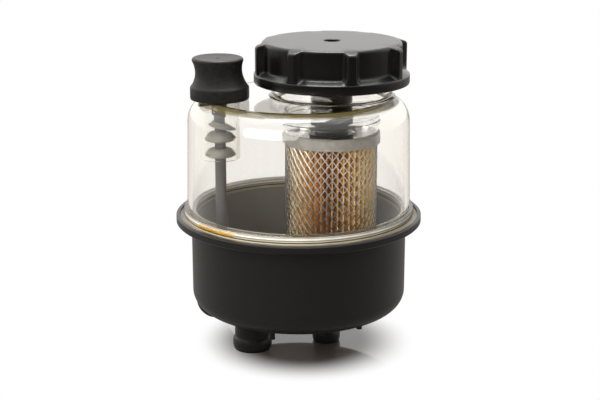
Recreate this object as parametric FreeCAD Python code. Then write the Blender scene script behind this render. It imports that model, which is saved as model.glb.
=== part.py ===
import FreeCAD, Part
import math
import os
from FreeCAD import Vector

# Power steering reservoir: a black bowl with a clear dome, a screw cap over a filter, and a dipstick.
# Millimetres, +Z up. The origin lies on the tank's axis, on the floor that the hose spigots stand on.
# The cap, the filter and the dipstick lie on one diameter of the tank, turned a little from the X axis.

# Layout
layout_turn = 13.4
filter_offset = 21.8
dipstick_edge_gap = 20.1

# Lower bowl
bowl_radius = 70.0
bowl_wall = 3.0
bowl_underside = 27.0
bowl_height = 63.0
bowl_corner = 11.5
flange_reach = 9.8
flange_height = 5.0
flange_fillet = 2.0
flange_edge = 0.6
lip_width = 2.4
lip_height = 2.0

# Hose spigots under the bowl
suction_place = (-30.5, -14.0)
suction_radius = 11.5
suction_wall = 2.6
suction_bead = 1.3
return_place = (18.5, -1.0)
return_radius = 8.1
return_wall = 2.4
return_bead = 1.2
spigot_bead_height = 9.0
spigot_bead_land = 2.0
spigot_end_taper = 0.3
outlet_end = (-63.0, 47.0)
outlet_slope = 45.0
outlet_bearing = 143.0
outlet_radius = 10.0
outlet_wall = 2.5
outlet_bead = 1.6
outlet_length = 46.0

# Pegs under the bowl
peg_circle = 47.0
peg_radius = 1.9
peg_length = 9.6
peg_angles = (-111.0, -33.0, 69.0)

# Filter seat in the bowl
stand_pipe_radius = 14.2
stand_pipe_wall = 1.8
stand_pipe_height = 15.0

# Clear dome
dome_wall = 3.0
dome_height = 76.5
dome_draft = 1.3
dome_shoulder = 15.0
foot_clearance = 2.9
foot_step = 2.0
foot_height = 6.0
seal_height = 0.6
seal_spread = 1.0
foot_tab_angle = 106.0
foot_tab_width = 16.0
foot_tab_height = 4.0
foot_tab_gap = 1.0

# Filler neck
neck_radius = 38.5
neck_wall = 3.5
neck_height = 28.5
neck_fillet = 2.4

# Dipstick neck and guide tube
guide_radius = 12.5
guide_wall = 1.7
guide_length = 37.5
dip_neck_step = 0.7
dip_neck_height = 10.0

# Filler cap
cap_skirt_wall = 4.8
cap_height = 26.6
cap_ring_reach = 5.1
cap_ring_height = 6.2
cap_ledge_rise = 2.6
cap_ring_edge = 0.6
cap_lug_reach = 4.8
cap_lug_count = 8
cap_lug_width = 5.2
cap_lug_root_width = 10.0
cap_lug_root_depth = 2.0
cap_lug_drop = 3.5
cap_lug_turn = 13.6
cap_plate = 3.7
cap_edge = 2.2
cap_neck_clearance = 1.6
vent_recess_radius = 5.25
vent_recess_depth = 1.8
vent_hole_radius = 1.6
gasket_width = 5.0
gasket_height = 2.2
gasket_gap = 0.3

# Vent parts under the cap's plate
vent_filter_radius = 6.5
vent_filter_height = 2.5
vent_retainer_wall = 1.2
vent_retainer_hole = 4.0

# Hold-down of the filter
sleeve_radius = 13.5
sleeve_wall = 2.2
sleeve_drop = 9.5
sleeve_length = 38.0
sleeve_plate = 2.0
sleeve_step = 1.5
sleeve_step_height = 2.6
sleeve_step_lift = 17.0
sleeve_slot_count = 8
sleeve_slot_width = 1.6
sleeve_slot_end = 5.0
sleeve_slot_turn = -92.0
barb_height = 2.6
barb_reach = 1.4
boss_clearance = 0.4
boss_wall = 2.8
boss_height = 18.0
plunger_rim = 0.9
plunger_height = 2.4
plunger_stem_clearance = 0.4
plunger_stem_wall = 1.6
plunger_overlap = 18.0
plunger_seal_height = 1.2
plunger_seal_width = 5.0
plunger_seal_inset = 0.2
spring_wire = 1.6
spring_turns = 9
spring_clearance = 0.5

# Filter cartridge
filter_radius = 30.2
filter_mesh_wall = 0.6
filter_cap_reach = 1.8
filter_length = 103.2
filter_rim_height = 6.8
filter_rim_edge = 0.8
filter_plate = 1.5
filter_hole_radius = 11.5
collar_inset = 1.4
collar_wall = 1.6
collar_height = 11.4
collar_lip_height = 2.6
collar_bead = 0.9
collar_bead_height = 3.0
collar_bead_edge = 0.6
filter_bottom_rim = 6.0
filter_seal_height = 3.0
filter_seal_width = 3.5
filter_fit = 0.3
pleat_count = 48
pleat_core_gap = 1.2
pleat_clearance = 0.3
paper_thickness = 0.7
pleat_slant = 1.6
core_pipe_gap = 0.8
core_wall = 0.8
core_hole_radius = 2.2
core_hole_columns = 8
core_hole_rows = 7
mesh_columns = 20
mesh_rows = 6
mesh_strand = 1.5

# Dipstick
grip_base_radius = 18.7
grip_gap = 0.4
grip_base_height = 8.6
grip_shoulder_height = 5.0
grip_shoulder_bow = 1.0
grip_waist_radius = 14.8
grip_waist_bow = 0.1
grip_top_radius = 16.2
grip_height = 26.5
grip_rim = 2.5
grip_dish = 0.8
grip_dish_slope = 2.0
grip_lower_edge = 1.0
grip_band_edge = 0.8
grip_fit = 0.3
grip_skirt = 10.6
grip_stub_length = 10.0
grip_stub_wall = 0.9
stem_radius = 3.5
stem_floor_gap = 6.0
stem_seat = 5.0
blade_height = 42.0
blade_thickness = 2.2
disc_clearance = 1.1
disc_bore_fit = 0.05
disc_hub_wall = 1.6
disc_rim = 1.6
disc_under_bow = 0.3
disc_top_bow = 0.6
disc_names = ("lower_splash_disc", "middle_splash_disc", "upper_splash_disc")
disc_lifts = (0.6, 10.8, 19.6)
disc_heights = (5.5, 5.5, 3.6)

# Depth by which fused forms run into each other, and by which cutting tools run past a wall
fuse_depth = 0.5
cut_margin = 2.0

# Sizes worked out from the values above
bowl_floor = bowl_underside + bowl_wall
bowl_inner_radius = bowl_radius - bowl_wall
inner_corner = bowl_corner - bowl_wall
flange_radius = bowl_radius + flange_reach
flange_top = bowl_underside + bowl_height
seat_height = flange_top - lip_height
lip_inner_radius = flange_radius - lip_width
foot_radius = lip_inner_radius - foot_clearance
foot_bottom = seat_height + seal_height
foot_top = foot_bottom + foot_height
dome_foot_radius = foot_radius - foot_step
dome_shoulder_radius = dome_foot_radius - dome_draft
dome_top = flange_top + dome_height
dipstick_offset = dome_shoulder_radius - dipstick_edge_gap
neck_top = dome_top + neck_height
neck_inner_radius = neck_radius - neck_wall
cap_inner_radius = neck_radius + cap_neck_clearance
cap_plate_under = neck_top + gasket_gap + gasket_height
cap_top = cap_plate_under + cap_plate
cap_bottom = cap_top - cap_height
cap_body_radius = cap_inner_radius + cap_skirt_wall
cap_ring_radius = cap_body_radius + cap_ring_reach
cap_lug_radius = cap_body_radius + cap_lug_reach
boss_inner_radius = sleeve_radius + boss_clearance
guide_inner_radius = guide_radius - guide_wall
guide_bottom = dome_top - guide_length
dip_neck_radius = guide_radius + dip_neck_step
disc_radius = guide_inner_radius - disc_clearance
sleeve_inner_radius = sleeve_radius - sleeve_wall
sleeve_top = cap_plate_under - sleeve_drop
sleeve_bottom = sleeve_top - sleeve_length
sleeve_step_bottom = sleeve_bottom + sleeve_step_lift
filter_bottom = bowl_floor + filter_seal_height
filter_media_bottom = filter_bottom + filter_plate
filter_top = filter_bottom + filter_length
filter_rim_top = filter_top + filter_rim_height
filter_cap_radius = filter_radius + filter_cap_reach
collar_radius = filter_cap_radius - collar_inset
collar_top = filter_rim_top + collar_height
core_radius = stand_pipe_radius + core_pipe_gap + core_wall
pleat_inner_radius = core_radius + pleat_core_gap
plunger_radius = sleeve_radius + plunger_rim
plunger_stem_top = sleeve_bottom + plunger_overlap
plunger_stem_radius = sleeve_inner_radius - plunger_stem_clearance
plunger_stem_inner_radius = plunger_stem_radius - plunger_stem_wall
plunger_seal_bottom = filter_top + filter_plate + gasket_gap
plunger_bottom = plunger_seal_bottom + plunger_seal_height
plunger_floor = plunger_bottom + plunger_height
stem_bottom = bowl_floor + stem_floor_gap
grip_bottom = dome_top + grip_gap
grip_top = grip_bottom + grip_height


def on_layout(distance):
    """Place on the diameter that carries the cap, the filter and the dipstick."""
    turn = math.radians(layout_turn)
    return (distance * math.cos(turn), distance * math.sin(turn))


filter_place = on_layout(filter_offset)
dipstick_place = on_layout(-dipstick_offset)


def moved(shape, place, height=0.0):
    """Shift a shape to a place in plan, and up by a height."""
    shape.translate(Vector(place[0], place[1], height))
    return shape


def outline_face(start, steps):
    """Face in the XZ plane. A step is a point for a line, or two points for an arc through the first."""
    def spot(point):
        return Vector(point[0], 0, point[1])

    edges = []
    here = start
    for step in list(steps) + [start]:
        is_arc = isinstance(step[0], tuple)
        end = step[1] if is_arc else step
        if is_arc:
            edges.append(Part.Arc(spot(here), spot(step[0]), spot(end)).toShape())
        else:
            edges.append(Part.makeLine(spot(here), spot(end)))
        here = end
    return Part.Face(Part.Wire(edges))


def round_corner(centre, radius, from_angle, to_angle):
    """Arc step round a centre: the point half way and the end point. Angles are in degrees from +X."""
    def at(angle):
        turn = math.radians(angle)
        return (centre[0] + radius * math.cos(turn), centre[1] + radius * math.sin(turn))

    return (at((from_angle + to_angle) / 2), at(to_angle))


def turned(start, steps):
    """Solid of revolution about the Z axis."""
    return outline_face(start, steps).revolve(Vector(0, 0, 0), Vector(0, 0, 1), 360)


def disc(radius, bottom, top):
    return Part.makeCylinder(radius, top - bottom, Vector(0, 0, bottom))


def tube(inner, outer, bottom, top):
    return disc(outer, bottom, top).cut(disc(inner, bottom, top))


def around(shape, count, first_angle=0.0):
    """List of copies of a shape, spread evenly about the Z axis."""
    copies = []
    for index in range(count):
        copy = shape.copy()
        copy.rotate(Vector(0, 0, 0), Vector(0, 0, 1), first_angle + 360.0 * index / count)
        copies.append(copy)
    return copies


def save(name, shape):
    shape.exportStep("parts/" + name + ".step")


def spigot(radius, bead, length):
    """Outer form of a hose spigot with a barrel bead at its lower end, standing on z = 0."""
    bead_radius = radius + bead
    end_radius = radius + spigot_end_taper
    land_bottom = (spigot_bead_height - spigot_bead_land) / 2
    land_top = land_bottom + spigot_bead_land
    lower = ((bead_radius - bead * 0.25, land_bottom * 0.4), (bead_radius, land_bottom))
    upper = ((radius + bead * 0.7, (land_top + spigot_bead_height) / 2), (radius, spigot_bead_height))
    outline = [(end_radius, 0), lower, (bead_radius, land_top), upper, (radius, length), (0, length)]
    return turned((0, 0), outline)


def lean_outlet(shape):
    """Turn an upright spigot outward and down, with the lowest point of its end on the floor."""
    end_radius = outlet_radius + spigot_end_taper
    lift = end_radius * math.sin(math.radians(90 - outlet_slope))
    shape.rotate(Vector(0, 0, 0), Vector(0, 1, 0), 90 - outlet_slope)
    shape.rotate(Vector(0, 0, 0), Vector(0, 0, 1), outlet_bearing - 180)
    return moved(shape, outlet_end, lift)


def bowl_shell():
    """Outer form of the bowl with its flange, filled."""
    corner_place = (bowl_radius - bowl_corner, bowl_underside + bowl_corner)
    flange_bottom = flange_top - flange_height
    fillet_place = (bowl_radius + flange_fillet, flange_bottom - flange_fillet)
    steps = [
        (bowl_radius - bowl_corner, bowl_underside),
        round_corner(corner_place, bowl_corner, -90, 0),
        (bowl_radius, flange_bottom - flange_fillet),
        round_corner(fillet_place, flange_fillet, 180, 90),
        (flange_radius - flange_edge, flange_bottom),
        (flange_radius, flange_bottom + flange_edge),
        (flange_radius, flange_top - flange_edge),
        (flange_radius - flange_edge, flange_top),
        (lip_inner_radius, flange_top),
        (lip_inner_radius, seat_height),
        (0, seat_height),
    ]
    return turned((0, bowl_underside), steps)


def bowl_hollow():
    """Inside of the bowl."""
    corner_place = (bowl_inner_radius - inner_corner, bowl_floor + inner_corner)
    steps = [
        (bowl_inner_radius - inner_corner, bowl_floor),
        round_corner(corner_place, inner_corner, -90, 0),
        (bowl_inner_radius, flange_top),
        (0, flange_top),
    ]
    return turned((0, bowl_floor), steps)


def lower_bowl():
    spigot_top = bowl_underside + bowl_wall / 2
    peg_bottom = Vector(peg_circle, 0, bowl_underside - peg_length)
    peg = Part.makeCylinder(peg_radius, peg_length + fuse_depth, peg_bottom)
    outer = [
        moved(spigot(suction_radius, suction_bead, spigot_top), suction_place),
        moved(spigot(return_radius, return_bead, spigot_top), return_place),
        lean_outlet(spigot(outlet_radius, outlet_bead, outlet_length)),
    ]
    for angle in peg_angles:
        outer += around(peg, 1, angle)
    bowl = bowl_shell().fuse(outer)
    bowl = bowl.cut(bowl_hollow())
    pipe = disc(stand_pipe_radius, bowl_floor - bowl_wall / 2, bowl_floor + stand_pipe_height)
    bowl = bowl.fuse(moved(pipe, filter_place))
    pipe_bore = disc(stand_pipe_radius - stand_pipe_wall, bowl_floor, bowl_floor + stand_pipe_height)
    bores = [
        moved(pipe_bore, filter_place),
        moved(disc(suction_radius - suction_wall, 0, bowl_floor), suction_place),
        moved(disc(return_radius - return_wall, 0, bowl_floor), return_place),
        lean_outlet(disc(outlet_radius - outlet_wall, 0, outlet_length + bowl_wall)),
    ]
    return bowl.cut(bores).removeSplitter()


def dome_outer():
    """Outer form of the dome with its foot, filled."""
    shoulder_start = dome_top - dome_shoulder
    shoulder_place = (dome_shoulder_radius - dome_shoulder, shoulder_start)
    steps = [
        (foot_radius, foot_bottom),
        (foot_radius, foot_top),
        (dome_foot_radius, foot_top),
        (dome_shoulder_radius, shoulder_start),
        round_corner(shoulder_place, dome_shoulder, 0, 90),
        (0, dome_top),
    ]
    return turned((0, foot_bottom), steps)


def dome_hollow():
    """Inside of the dome."""
    shoulder_start = dome_top - dome_shoulder
    shoulder_place = (dome_shoulder_radius - dome_shoulder, shoulder_start)
    inner_shoulder = dome_shoulder - dome_wall
    steps = [
        (bowl_inner_radius, foot_bottom),
        (bowl_inner_radius, foot_top),
        (dome_foot_radius - dome_wall, foot_top),
        (dome_shoulder_radius - dome_wall, shoulder_start),
        round_corner(shoulder_place, inner_shoulder, 0, 90),
        (0, dome_top - dome_wall),
    ]
    return turned((0, foot_bottom), steps)


def foot_tab():
    """Small locating tab on the foot at the back."""
    reach = lip_inner_radius - foot_tab_gap - dome_foot_radius
    tab = Part.makeBox(reach + dome_wall / 2, foot_tab_width, foot_tab_height)
    tab.translate(Vector(dome_foot_radius - dome_wall / 2, -foot_tab_width / 2, foot_bottom))
    tab.rotate(Vector(0, 0, 0), Vector(0, 0, 1), foot_tab_angle)
    return tab


def filler_neck():
    """Filler neck, filled, with a flared base that runs into the dome's top."""
    flare_place = (neck_radius + neck_fillet, dome_top + neck_fillet)
    steps = [
        (neck_radius + neck_fillet, dome_top - dome_wall),
        (neck_radius + neck_fillet, dome_top),
        round_corner(flare_place, neck_fillet, 270, 180),
        (neck_radius, neck_top),
        (0, neck_top),
    ]
    return turned((0, dome_top - dome_wall), steps)


def clear_dome():
    dip_neck = disc(dip_neck_radius, dome_top - dome_wall, dome_top + dip_neck_height)
    necks = [moved(filler_neck(), filter_place), moved(dip_neck, dipstick_place)]
    dome = dome_outer().fuse(necks + [foot_tab()])
    dome = dome.cut(dome_hollow())
    guide = moved(disc(guide_radius, guide_bottom, dome_top - dome_wall / 2), dipstick_place)
    dome = dome.fuse(guide)
    bores = [
        moved(disc(neck_inner_radius, dome_top - dome_shoulder, neck_top), filter_place),
        moved(disc(guide_inner_radius, guide_bottom, dome_top + dip_neck_height), dipstick_place),
    ]
    return dome.cut(bores).removeSplitter()


def flange_seal():
    return tube(bowl_inner_radius + seal_spread, foot_radius + seal_spread, seat_height, foot_bottom)


def cap_lug():
    """One lug of the cap: narrow face outside, wide root, as a block through the cap's height."""
    root = cap_body_radius - cap_lug_root_depth
    points = [
        Vector(root, -cap_lug_root_width / 2, cap_bottom),
        Vector(cap_body_radius, -cap_lug_root_width / 2, cap_bottom),
        Vector(cap_lug_radius, -cap_lug_width / 2, cap_bottom),
        Vector(cap_lug_radius, cap_lug_width / 2, cap_bottom),
        Vector(cap_body_radius, cap_lug_root_width / 2, cap_bottom),
        Vector(root, cap_lug_root_width / 2, cap_bottom),
    ]
    face = Part.Face(Part.makePolygon(points + points[:1]))
    return face.extrude(Vector(0, 0, cap_top - cap_bottom))


def cap_crown():
    """Rounded envelope that trims the tops of the lugs and of the body."""
    steps = [
        (cap_ring_radius, cap_bottom),
        (cap_ring_radius, cap_bottom + cap_ring_height),
        (cap_lug_radius, cap_bottom + cap_ring_height),
        (cap_lug_radius, cap_top - cap_lug_drop),
        round_corner((cap_lug_radius - cap_edge, cap_top - cap_lug_drop), cap_edge, 0, 60),
        (cap_body_radius - cap_edge, cap_top),
        (0, cap_top),
    ]
    return turned((0, cap_bottom), steps)


def cap_body():
    """Turned body of the cap with its lower ring, filled."""
    edge_place = (cap_body_radius - cap_edge, cap_top - cap_edge)
    ring_top = cap_bottom + cap_ring_height
    steps = [
        (cap_ring_radius - cap_ring_edge, cap_bottom),
        (cap_ring_radius, cap_bottom + cap_ring_edge),
        (cap_ring_radius, ring_top - cap_ring_edge),
        (cap_ring_radius - cap_ring_edge, ring_top),
        (cap_body_radius, ring_top + cap_ledge_rise),
        (cap_body_radius, cap_top - cap_edge),
        round_corner(edge_place, cap_edge, 0, 90),
        (0, cap_top),
    ]
    return turned((0, cap_bottom), steps)


def filler_cap():
    lug_angle = cap_lug_turn - 90.0
    lugs = Part.makeCompound(around(cap_lug(), cap_lug_count, lug_angle)).common(cap_crown())
    cap = cap_body().fuse(lugs)
    cap = cap.cut(disc(cap_inner_radius, cap_bottom, cap_plate_under))
    boss_top = cap_plate_under + fuse_depth
    boss = tube(boss_inner_radius, boss_inner_radius + boss_wall, cap_plate_under - boss_height, boss_top)
    cap = cap.fuse(boss)
    barb_room = boss_inner_radius + barb_reach
    groove_bottom = sleeve_top - barb_height - boss_clearance
    cuts = [
        disc(barb_room, groove_bottom, sleeve_top + boss_clearance),
        disc(vent_recess_radius, cap_top - vent_recess_depth, cap_top),
        disc(vent_hole_radius, cap_plate_under, cap_top),
    ]
    return moved(cap.cut(cuts).removeSplitter(), filter_place)


def cap_gasket():
    outer = cap_inner_radius
    ring = tube(outer - gasket_width, outer, neck_top + gasket_gap, cap_plate_under)
    return moved(ring, filter_place)


def vent_filter():
    bottom = cap_plate_under - vent_filter_height
    return moved(disc(vent_filter_radius, bottom, cap_plate_under), filter_place)


def vent_retainer():
    outer = vent_filter_radius + vent_retainer_wall
    floor_top = cap_plate_under - vent_filter_height
    cup = disc(outer, floor_top - vent_retainer_wall, cap_plate_under)
    cup = cup.cut(disc(vent_filter_radius, floor_top, cap_plate_under))
    cup = cup.cut(disc(vent_retainer_hole, floor_top - vent_retainer_wall, floor_top))
    return moved(cup, filter_place)


def hold_down_sleeve():
    barb_start = sleeve_top - barb_height
    steps = [
        (sleeve_radius, sleeve_bottom),
        (sleeve_radius, sleeve_step_bottom),
        (sleeve_radius + sleeve_step, sleeve_step_bottom),
        (sleeve_radius + sleeve_step, sleeve_step_bottom + sleeve_step_height),
        (sleeve_radius, sleeve_step_bottom + sleeve_step_height),
        (sleeve_radius, barb_start),
        (sleeve_radius + barb_reach, barb_start),
        (sleeve_radius, sleeve_top),
        (0, sleeve_top),
    ]
    sleeve = turned((0, sleeve_bottom), steps)
    sleeve = sleeve.cut(disc(sleeve_inner_radius, sleeve_bottom, sleeve_top - sleeve_plate))
    slot_bottom = sleeve_step_bottom + sleeve_step_height
    slot_height = sleeve_top - sleeve_slot_end - slot_bottom
    slot = Part.makeBox(sleeve_wall + 2 * cut_margin, sleeve_slot_width, slot_height)
    slot.translate(Vector(sleeve_inner_radius - cut_margin, -sleeve_slot_width / 2, slot_bottom))
    slots = around(slot, sleeve_slot_count, sleeve_slot_turn)
    return moved(sleeve.cut(slots), filter_place)


def hold_down_plunger():
    plunger = disc(plunger_radius, plunger_bottom, plunger_floor)
    plunger = plunger.fuse(disc(plunger_stem_radius, plunger_bottom, plunger_stem_top))
    plunger = plunger.cut(disc(plunger_stem_inner_radius, plunger_floor, plunger_stem_top))
    return moved(plunger.removeSplitter(), filter_place)


def plunger_seal():
    outer = plunger_radius - plunger_seal_inset
    ring = tube(outer - plunger_seal_width, outer, plunger_seal_bottom, plunger_bottom)
    return moved(ring, filter_place)


def hold_down_spring():
    mean_radius = plunger_stem_inner_radius - spring_clearance - spring_wire / 2
    bottom = plunger_floor + spring_wire / 2
    length = sleeve_top - sleeve_plate - spring_wire / 2 - bottom
    helix = Part.makeHelix(length / spring_turns, length, mean_radius)
    slope = Vector(0, 1, length / spring_turns / (2 * math.pi * mean_radius))
    section = Part.Wire(Part.makeCircle(spring_wire / 2, Vector(mean_radius, 0, 0), slope))
    coil = Part.Wire(helix).makePipeShell([section], True, True)
    return moved(coil, filter_place, bottom)


def filter_top_cap():
    bead_reach = collar_radius + collar_bead
    bead_top = collar_top - collar_lip_height
    bead_bottom = bead_top - collar_bead_height
    steps = [
        (filter_cap_radius, filter_top),
        (filter_cap_radius, filter_rim_top - filter_rim_edge),
        (filter_cap_radius - filter_rim_edge, filter_rim_top),
        (collar_radius, filter_rim_top),
        (collar_radius, bead_bottom),
        (bead_reach, bead_bottom + collar_bead_edge),
        (bead_reach, bead_top - collar_bead_edge),
        (collar_radius, bead_top),
        (collar_radius, collar_top),
        (collar_radius - collar_wall, collar_top),
        (collar_radius - collar_wall, filter_top + filter_plate),
        (filter_hole_radius, filter_top + filter_plate),
    ]
    return moved(turned((filter_hole_radius, filter_top), steps), filter_place)


def filter_bottom_cap():
    hole = stand_pipe_radius + filter_fit
    rim_top = filter_bottom + filter_bottom_rim
    steps = [
        (filter_cap_radius, filter_bottom),
        (filter_cap_radius, rim_top),
        (filter_radius, rim_top),
        (filter_radius, filter_media_bottom),
        (hole, filter_media_bottom),
    ]
    return moved(turned((hole, filter_bottom), steps), filter_place)


def filter_bottom_seal():
    inner = stand_pipe_radius
    return moved(tube(inner, inner + filter_seal_width, bowl_floor, filter_bottom), filter_place)


def filter_mesh():
    """Jacket with staggered diamond gaps."""
    height = filter_top - filter_media_bottom
    shell = tube(filter_radius - filter_mesh_wall, filter_radius, filter_media_bottom, filter_top)
    row_pitch = height / (mesh_rows + 1)
    half_width = math.pi * filter_radius / mesh_columns - mesh_strand / 2
    half_height = row_pitch - mesh_strand
    gap_start = filter_radius - cut_margin
    points = [
        Vector(gap_start, half_width, 0),
        Vector(gap_start, 0, half_height),
        Vector(gap_start, -half_width, 0),
        Vector(gap_start, 0, -half_height),
    ]
    gap = Part.Face(Part.makePolygon(points + points[:1])).extrude(Vector(2 * cut_margin, 0, 0))
    gaps = []
    for row in range(mesh_rows):
        first = 180.0 / mesh_columns * (row % 2)
        for copy in around(gap, mesh_columns, first):
            gaps.append(moved(copy, (0, 0), filter_media_bottom + row_pitch * (row + 1)))
    return moved(shell.cut(gaps), filter_place)


def pleat_wire(outer, inner, height):
    """Closed zigzag round the axis."""
    points = []
    for index in range(2 * pleat_count):
        radius = outer if index % 2 == 0 else inner
        angle = math.pi * index / pleat_count
        points.append(Vector(radius * math.cos(angle), radius * math.sin(angle), height))
    return Part.makePolygon(points + points[:1])


def filter_paper():
    outer = filter_radius - filter_mesh_wall - pleat_clearance
    crest = paper_thickness * pleat_slant
    outer_face = Part.Face(pleat_wire(outer, pleat_inner_radius + crest, filter_media_bottom))
    inner_face = Part.Face(pleat_wire(outer - crest, pleat_inner_radius, filter_media_bottom))
    sheet = outer_face.cut(inner_face)
    return moved(sheet.extrude(Vector(0, 0, filter_top - filter_media_bottom)), filter_place)


def filter_core():
    """Perforated tube inside the paper."""
    shell = tube(core_radius - core_wall, core_radius, filter_media_bottom, filter_top)
    pitch = (filter_top - filter_media_bottom) / core_hole_rows
    hole_start = Vector(core_radius - cut_margin, 0, 0)
    hole = Part.makeCylinder(core_hole_radius, 2 * cut_margin, hole_start, Vector(1, 0, 0))
    holes = []
    for row in range(core_hole_rows):
        first = 180.0 / core_hole_columns * (row % 2)
        for copy in around(hole, core_hole_columns, first):
            holes.append(moved(copy, (0, 0), filter_media_bottom + pitch * (row + 0.5)))
    return moved(shell.cut(holes), filter_place)


def dipstick_grip():
    """Rubber plug: a base band, a sloped shoulder, a waist and a rounded, dished top."""
    band_top = grip_bottom + grip_base_height
    shoulder_top = band_top + grip_shoulder_height
    rim_place = (grip_top_radius - grip_rim, grip_top - grip_rim)
    waist_middle = (grip_waist_radius + grip_waist_bow, (shoulder_top + grip_top - grip_rim) / 2)
    shoulder_middle = (grip_waist_radius + grip_shoulder_bow, (band_top + shoulder_top) / 2)
    steps = [
        (grip_base_radius - grip_lower_edge, grip_bottom),
        (grip_base_radius, grip_bottom + grip_lower_edge),
        (grip_base_radius, band_top - grip_band_edge),
        (grip_base_radius - grip_band_edge, band_top),
        (shoulder_middle, (grip_waist_radius, shoulder_top)),
        (waist_middle, (grip_top_radius, grip_top - grip_rim)),
        round_corner(rim_place, grip_rim, 0, 90),
        (grip_top_radius - grip_rim - grip_dish_slope, grip_top - grip_dish),
        (0, grip_top - grip_dish),
    ]
    stub = disc(stem_radius + grip_stub_wall, grip_bottom - grip_stub_length, grip_bottom + fuse_depth)
    grip = turned((0, grip_bottom), steps).fuse(stub)
    skirt_top = grip_bottom + grip_skirt
    skirt = tube(guide_inner_radius - grip_fit, dip_neck_radius + grip_fit, grip_bottom, skirt_top)
    socket = disc(stem_radius, grip_bottom - grip_stub_length, grip_bottom + grip_skirt + stem_seat)
    return moved(grip.cut([skirt, socket]).removeSplitter(), dipstick_place)


def dipstick_stem():
    """Round rod with a flat blade at its lower end."""
    blade_top = stem_bottom + blade_height
    rod = disc(stem_radius, blade_top, grip_bottom + grip_skirt + stem_seat)
    blade = Part.makeBox(2 * stem_radius, blade_thickness, blade_height)
    blade.translate(Vector(-stem_radius, -blade_thickness / 2, stem_bottom))
    round_blade = disc(stem_radius, stem_bottom, blade_top)
    return moved(rod.fuse(blade.common(round_blade)).removeSplitter(), dipstick_place)


def splash_disc(level, height):
    """Rubber disc: a lens with a rounded rim, thickest at its hub, with a bore for the rod."""
    bore = stem_radius + disc_bore_fit
    hub = bore + disc_hub_wall
    top = level + height
    rim_middle = level + height * 0.36
    rim_place = (disc_radius - disc_rim / 2, rim_middle)
    bow_radius = (hub + disc_radius) / 2
    under = ((bow_radius, level + disc_under_bow), (rim_place[0], rim_middle - disc_rim / 2))
    over = ((bow_radius, top - disc_top_bow), (hub, top))
    steps = [(hub, level), under, round_corner(rim_place, disc_rim / 2, -90, 90), over, (bore, top)]
    return moved(turned((bore, level), steps), dipstick_place)


pieces = {
    "lower_bowl": lower_bowl,
    "clear_dome": clear_dome,
    "flange_seal": flange_seal,
    "filler_cap": filler_cap,
    "cap_gasket": cap_gasket,
    "vent_filter": vent_filter,
    "vent_retainer": vent_retainer,
    "hold_down_sleeve": hold_down_sleeve,
    "hold_down_plunger": hold_down_plunger,
    "plunger_seal": plunger_seal,
    "hold_down_spring": hold_down_spring,
    "filter_top_cap": filter_top_cap,
    "filter_bottom_cap": filter_bottom_cap,
    "filter_bottom_seal": filter_bottom_seal,
    "filter_mesh": filter_mesh,
    "filter_paper": filter_paper,
    "filter_core": filter_core,
    "dipstick_grip": dipstick_grip,
    "dipstick_stem": dipstick_stem,
}

os.makedirs("parts", exist_ok=True)
for name, make in pieces.items():
    save(name, make())
for index, name in enumerate(disc_names):
    save(name, splash_disc(guide_bottom + disc_lifts[index], disc_heights[index]))
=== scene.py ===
import math

import bmesh
import bpy
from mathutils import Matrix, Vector


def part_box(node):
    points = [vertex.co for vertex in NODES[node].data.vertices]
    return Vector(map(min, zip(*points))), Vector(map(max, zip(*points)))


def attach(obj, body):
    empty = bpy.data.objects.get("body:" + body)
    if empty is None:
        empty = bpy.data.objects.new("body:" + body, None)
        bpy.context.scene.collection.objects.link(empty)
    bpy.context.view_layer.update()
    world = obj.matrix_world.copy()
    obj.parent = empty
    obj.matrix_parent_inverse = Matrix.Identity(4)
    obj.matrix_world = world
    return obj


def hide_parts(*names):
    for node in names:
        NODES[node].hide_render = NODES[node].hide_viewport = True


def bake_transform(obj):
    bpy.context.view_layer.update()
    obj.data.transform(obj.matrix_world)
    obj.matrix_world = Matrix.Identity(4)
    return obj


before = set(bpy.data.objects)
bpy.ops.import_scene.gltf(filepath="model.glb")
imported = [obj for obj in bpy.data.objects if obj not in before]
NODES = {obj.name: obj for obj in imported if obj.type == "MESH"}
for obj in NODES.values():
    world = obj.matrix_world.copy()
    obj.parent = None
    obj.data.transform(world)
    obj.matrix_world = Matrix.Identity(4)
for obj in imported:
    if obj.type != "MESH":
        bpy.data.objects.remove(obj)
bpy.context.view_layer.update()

# Shapes are written in millimetres and made in metres
MM = 0.001

# Directions
UP = (0.0, 0.0, 1.0)
BACK = (0.0, 1.0, 0.0)

# Camera: a long lens looking down a little along +Y, as in the photograph
CAMERA_PLACE = (0.0009, -0.8285, 0.3295)
CAMERA_PITCH = math.radians(15.667)
CAMERA_LENS = 78.96
SENSOR_WIDTH = 36.0

# Room: colour, direction in which it gets brighter, and strength of its light in front and behind
ROOM_COLOUR = (1.0, 0.99, 0.97)
ROOM_DIRECTION = (0.0, 1.0, 0.8)
ROOM_START = -0.9
ROOM_END = 1.0
ROOM_FRONT = 0.05
ROOM_BACK = 1.3

# White backdrop: how far to the back a view through clear plastic has to point to see it
BACKDROP_START = -0.6
BACKDROP_END = -0.15

# Floor: size in metres, colours, of which the dark one is a painted shadow near the object, and share of
# mirror
FLOOR_SIZE = 8.0
FLOOR_SHADOW_COLOUR = (0.06, 0.048, 0.04)
FLOOR_ROUGHNESS = 0.6
MIRROR_COLOUR = (0.98, 0.97, 0.96)
MIRROR_ROUGHNESS = 0.04
MIRROR_SHARE = 0.16

# Ring in which the painted shadow on the floor fades to white: centre in metres, and radii in millimetres
FADE_CENTRE = Vector((0.004, 0.0, 0.0))
FADE_START = 36.0
FADE_END = 74.0

# Floor in front, which reflections inside the clear plastic don't see as white, in metres
FLOOR_FRONT_START = -0.16
FLOOR_FRONT_END = -0.09

# Bounces of light, enough for the walls of the dome, the neck and the collar
MOST_BOUNCES = 32
GLOSSY_BOUNCES = 16

# Grain of moulded plastic: strength of its bump, and spots of colour that are coarser than the grain
BUMP_STRENGTH = 0.5
SPOT_SHARE = 0.35
SPOT_DETAIL = 6.0

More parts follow.
